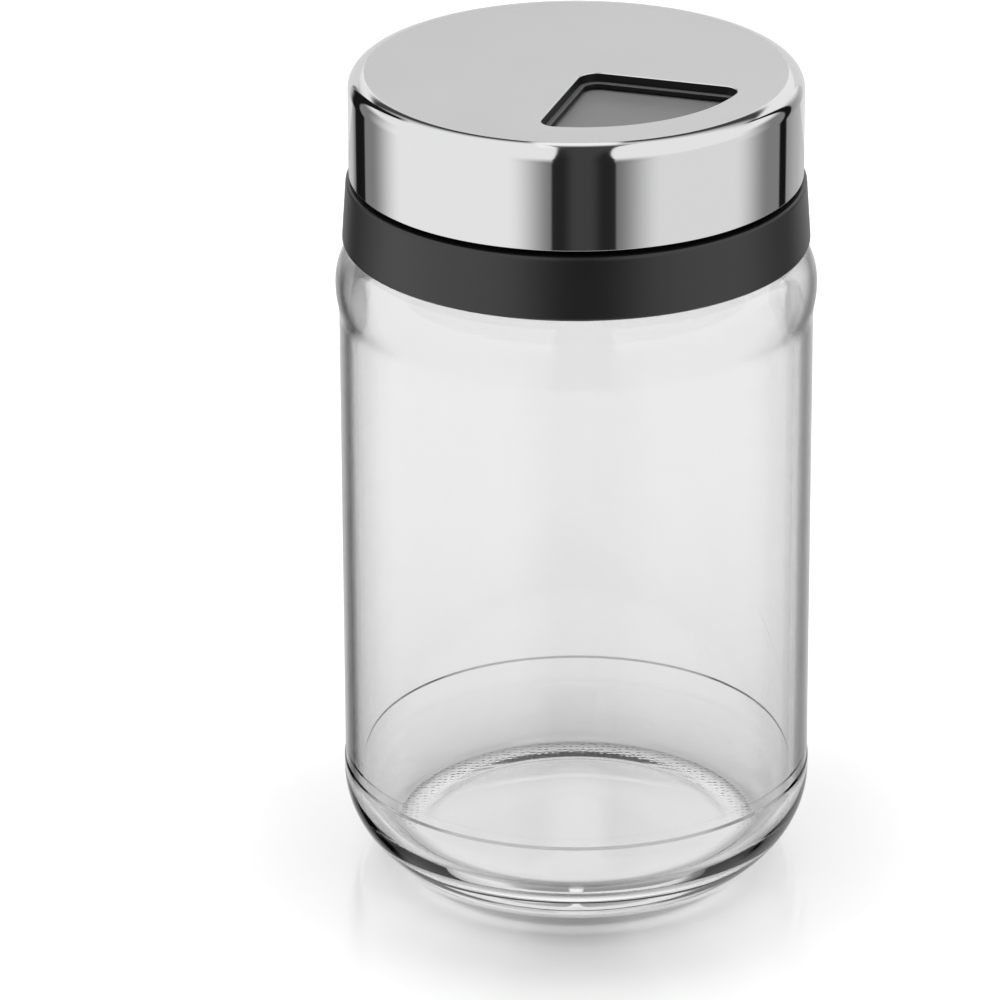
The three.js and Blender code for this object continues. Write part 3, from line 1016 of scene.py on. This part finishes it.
class SHAKER_OT_steel(bpy.types.Operator):
    """Make the drawn steel shell of the cap, with its window"""

    bl_idname = "shaker.steel"
    bl_label = "Steel Cap"

    def execute(self, context):
        cap = context.scene.shaker.cap
        outer = steel_high.x
        inner = outer - cap.gauge
        top = steel_high.z
        under = top - cap.gauge
        bottom = steel_low.z
        corner = cap.corner_radius
        inner_corner = corner - cap.gauge
        hem_edge = cap.hem_corner
        outline = Outline((0, 0, under))
        outline.to((inner - inner_corner, 0, under))
        outline.arc((inner - inner_corner, 0, under - inner_corner), -quarter)
        outline.through(
            (inner, bottom + cap.gauge),
            (inner - cap.hem_width, bottom + cap.gauge),
            (inner - cap.hem_width, bottom),
            (outer - hem_edge, bottom),
        )
        outline.arc((outer - hem_edge, 0, bottom + hem_edge), quarter)
        outline.to((outer, 0, top - corner))
        outline.arc((outer - corner, 0, top - corner), quarter, steps=2 * arc_steps)
        outline.to((0, 0, top))
        piece = made_object("lid_steel", outline.turned())
        cut(piece, window_cutter(0, under - overrun))
        round_rims(piece, top, window_edge_roll, segments=4)
        finish_piece(piece, "cap", "steel_cap", steel_material(cap))
        return {"FINISHED"}


def tent_light(wire):
    """How bright the light tent is in each direction, as the shiny pieces mirror it.

    All angles are in degrees. Bearing goes round the shaker from the camera, and height up from
    the table. Pitch goes over the top, from the front at 0 to the back at 180, and side is the
    angle away from that arch.
    """
    direction = wire.node("ShaderNodeTexCoord", {}, {}, output="Generated")
    x, y, z = (direction.part(name) for name in "XYZ")
    bearing = wire.maths("ARCTAN2", x, 0 - y) * math.degrees(1)
    height = wire.maths("ARCSINE", z) * math.degrees(1)
    pitch = wire.maths("ARCTAN2", z, 0 - y) * math.degrees(1)
    side = wire.maths("ARCSINE", x) * math.degrees(1)

    def hang(level, brightness, mask):
        """Brings the level to a brightness where the mask is 1."""
        return level + (brightness - level) * mask

    def hang_walls(level, walls):
        """Hangs walls given by brightness, bearing, half width, soft edge, top and soft top."""
        for brightness, centre, half_width, soft, high, soft_high in walls:
            turned = abs(wire.maths("WRAP", bearing - centre, 180, -180))
            upright = height.rising(high + soft_high, high)
            level = hang(level, brightness, turned.rising(half_width + soft, half_width) * upright)
        return level

    # The soft grey sides, and the thin dark cards with the haze round the front flag
    soft_walls = (
        (0.87, 75, 45, 30, 0, 15),
        (0.5, 150, 25, 15, 0, 15),
        (0.25, 118, 5, 27, 10, 15),
        (0.24, -138, 12, 28, 10, 15),
    )
    dark_cards = (
        (0.01, -141, 6.2, 2, 40, 5),
        (0.008, 128, 3.2, 1.5, 40, 5),
        (0.2, 4.3, 14, 26, -12, 36),
    )
    # The gap between the overhead lights: its brightness, its near edge and its far edge
    dark_gaps = ((0.42, (118, 138), (160, 156)), (0.06, (133, 141), (159, 155)))
    near_tilt = 0.22
    far_tilt = 0.2
    far_bend = 0.6
    gap_side = (55, 25)
    # The bright strip across that gap, which starts behind and widens to the front
    strip_light = 1.12
    strip_tip = 155
    strip_tip_width = 0.2
    strip_widening = 0.13
    strip_soft = 0.6
    strip_ends = ((93, 96), (163, 160))
    # The dark flag in front, which narrows overhead and is a little paler in its middle
    flag_dark = 0.022
    flag_pale = 0.06
    flag_narrows = (10, 100)
    flag_side = (3.5, 1.3)
    flag_width = (14.5, 9)
    flag_soft = 1
    flag_ends = ((128, 98), (-100, -95))
    flag_middle = 3
    flag_middle_width = (10, 3)
    # The backdrop low behind, and the table far below the horizon
    backdrop = 0.6
    backdrop_width = (0.8, 0.88)
    backdrop_top = (8, -2)
    table = 0.65
    table_edge = (-42, -50)

    def between(ends):
        """1 where the pitch lies between two soft ends."""
        return pitch.rising(*ends[0]) * pitch.rising(*ends[1])

    level = hang_walls(1, soft_walls)
    near = pitch + near_tilt * side
    far = pitch + far_bend * abs(side) + far_tilt * side
    for brightness, near_edge, far_edge in dark_gaps:
        gap = near.rising(*near_edge) * far.rising(*far_edge) * abs(side).rising(*gap_side)
        level = hang(level, brightness, gap)
    strip = strip_tip_width + strip_widening * (strip_tip - pitch)
    level = hang(level, strip_light, abs(side).rising(strip + strip_soft, strip) * between(strip_ends))
    level = hang_walls(level, dark_cards)
    narrow = pitch.rising(*flag_narrows, "LINEAR")
    away = abs(side - (flag_side[0] - flag_side[1] * narrow))
    edge = flag_width[0] - flag_width[1] * narrow
    flag = away.rising(edge + flag_soft, edge) * between(flag_ends)
    level = hang(level, flag_dark, flag)
    level = hang(level, flag_pale, flag * abs(side - flag_middle).rising(*flag_middle_width))
    level = hang(level, backdrop, y.rising(*backdrop_width) * height.rising(*backdrop_top))
    return hang(level, table, height.rising(*table_edge))


class SHAKER_OT_stage(bpy.types.Operator):
    """Set up the camera, the pale table, the light tent and the soft light"""

    bl_idname = "shaker.stage"
    bl_label = "Stage"

    def execute(self, context):
        stage = context.scene.shaker.stage
        self.place_camera(context, stage)
        self.lay_floor(stage)
        self.hang_card(stage)
        self.light_tent(context)
        self.hang_light(context, stage)
        context.scene.view_settings.view_transform = "Standard"
        context.scene.view_settings.look = "None"
        return {"FINISHED"}

    def place_camera(self, context, stage):
        """A long lens at the photograph's angle."""
        near = 0.05
        far = 20
        sensor_width = 36
        data = bpy.data.cameras.new("camera")
        data.lens = stage.lens
        data.sensor_width = sensor_width
        data.sensor_fit = "HORIZONTAL"
        data.shift_x = stage.shift
        data.clip_start = near
        data.clip_end = far
        camera = bpy.data.objects.new("camera", data)
        back = Vector((0, -math.cos(stage.elevation), math.sin(stage.elevation)))
        camera.location = back * stage.distance + Vector((0, 0, stage.target_height))
        camera.rotation_euler = (quarter - stage.elevation, 0, 0)
        context.scene.collection.objects.link(camera)
        context.scene.camera = camera

    def lay_floor(self, stage):
        """A table top with a soft gloss, a shade in front of the jar and a glow under it.

        The shiny pieces see the tent in its place.
        """
        table_width = 12
        gap = 0.03 * mm
        gloss_starts = 18 * mm
        gloss_ends = 38 * mm
        shade_ends = 50 * mm
        shade_stops = ((0.36, 0.5), (0.42, 0.65), (0.44, 0.56), (0.48, 0.42), (0.53, 0.33))
        shade_stops += ((0.64, 0.21), (1, 0))
        front_stops = ((0, 0), (0.5, 0.1), (0.71, 0.18), (0.87, 0.4), (0.966, 0.7), (1, 1))
        glow_inner = 14.5 * mm
        glow_outer = 17 * mm
        floor = flat_sheet("table_top", table_width, Matrix.Translation((0, 0, -gap)))
        material, wire = new_material("Table")
        out = from_axis(wire)
        in_front = (0 - places(wire).part("Y") / out).ramp(*front_stops)
        shade = (out / shade_ends).ramp(*shade_stops) * in_front
        shaded = shade.mix(opaque(stage.floor_colour), black)
        paint = wire.node("ShaderNodeBsdfDiffuse", {}, {"Color": shaded})
        gloss = wire.node("ShaderNodeBsdfAnisotropic", {}, {"Color": white, "Roughness": stage.floor_blur})
        near = out.rising(gloss_ends, gloss_starts)
        table = wire.node("ShaderNodeMixShader", {}, {0: stage.floor_gloss * near, 1: paint, 2: gloss})
        glow = wire.node("ShaderNodeEmission", {}, {"Color": white, "Strength": stage.glow})
        under = out.rising(glow_outer, glow_inner)
        end_material(wire, wire.node("ShaderNodeMixShader", {}, {0: under, 1: table, 2: glow}))
        floor.data.materials.append(material)
        floor.visible_glossy = False

    def hang_card(self, stage):
        """A white card behind the jar, low enough that the table mirrors it and the cap does not."""
        distance = 150 * mm
        width = 200 * mm
        bottom = 12 * mm
        top = 125 * mm
        middle = Matrix.Translation((0, distance, (bottom + top) / 2))
        upright = Matrix.Rotation(quarter, 4, "X")
        card = flat_sheet("card", 1, middle @ upright @ Matrix.Diagonal((width, top - bottom, 1, 1)))
        material, wire = new_material("Card")
        light = wire.node("ShaderNodeEmission", {}, {"Color": white, "Strength": stage.card_light})
        end_material(wire, light)
        card.data.materials.append(material)
        card.visible_camera = False
        card.visible_diffuse = False
        card.visible_transmission = False
        card.visible_shadow = False

    def light_tent(self, context):
        """White all round for the camera, and the tent's cards for what mirrors it."""
        plain = 1.1
        haze = 0.3
        world = bpy.data.worlds.new("tent")
        world.use_nodes = True
        world.node_tree.nodes.clear()
        wire = Wire(world.node_tree)
        seen = wire.node("ShaderNodeLightPath", {}, {}, output="Is Camera Ray")
        through = wire.node("ShaderNodeLightPath", {}, {}, output="Is Transmission Ray")
        tent = tent_light(wire)
        softer = tent + (1 - tent) * haze * through
        shown = softer + (plain - softer) * seen
        light = wire.node("ShaderNodeBackground", {}, {"Color": white, "Strength": shown})
        wire.node("ShaderNodeOutputWorld", {}, {"Surface": light})
        context.scene.world = world

    def hang_light(self, context, stage):
        """A large soft light that only the matte surfaces see."""
        size = 1.6
        height = 1.0
        power = 11.5
        data = bpy.data.lights.new("soft_light", "AREA")
        data.shape = "SQUARE"
        data.size = size
        data.energy = power * stage.light
        light = bpy.data.objects.new("soft_light", data)
        light.location = (0, 0, height)
        light.visible_camera = False
        light.visible_glossy = False
        light.visible_transmission = False
        context.scene.collection.objects.link(light)


class SHAKER_PT_panel(bpy.types.Panel):
    """Buttons for each piece and the stage"""

    bl_idname = "SHAKER_PT_panel"
    bl_label = "Salt Shaker"
    bl_space_type = "VIEW_3D"
    bl_region_type = "UI"
    bl_category = "Shaker"

    def draw(self, context):
        for operator in operators:
            self.layout.operator(operator.bl_idname)


operators = (
    SHAKER_OT_stage,
    SHAKER_OT_jar,
    SHAKER_OT_seal,
    SHAKER_OT_collar,
    SHAKER_OT_disc,
    SHAKER_OT_liner,
    SHAKER_OT_steel,
)
classes = (
    JarSettings,
    CollarSettings,
    DiscSettings,
    CapSettings,
    StageSettings,
    ShakerSettings,
    *operators,
    SHAKER_PT_panel,
)


def register():
    """Adds the settings, the operators and the panel to Blender."""
    for item in classes:
        bpy.utils.register_class(item)
    bpy.types.Scene.shaker = PointerProperty(type=ShakerSettings)


def unregister():
    """Takes them out again."""
    del bpy.types.Scene.shaker
    for item in reversed(classes):
        bpy.utils.unregister_class(item)


def main():
    """Makes the whole shaker and its stage."""
    register()
    bpy.ops.shaker.stage()
    bpy.ops.shaker.jar()
    bpy.ops.shaker.seal()
    bpy.ops.shaker.collar()
    bpy.ops.shaker.disc()
    bpy.ops.shaker.liner()
    bpy.ops.shaker.steel()


if __name__ == "__main__":
    main()
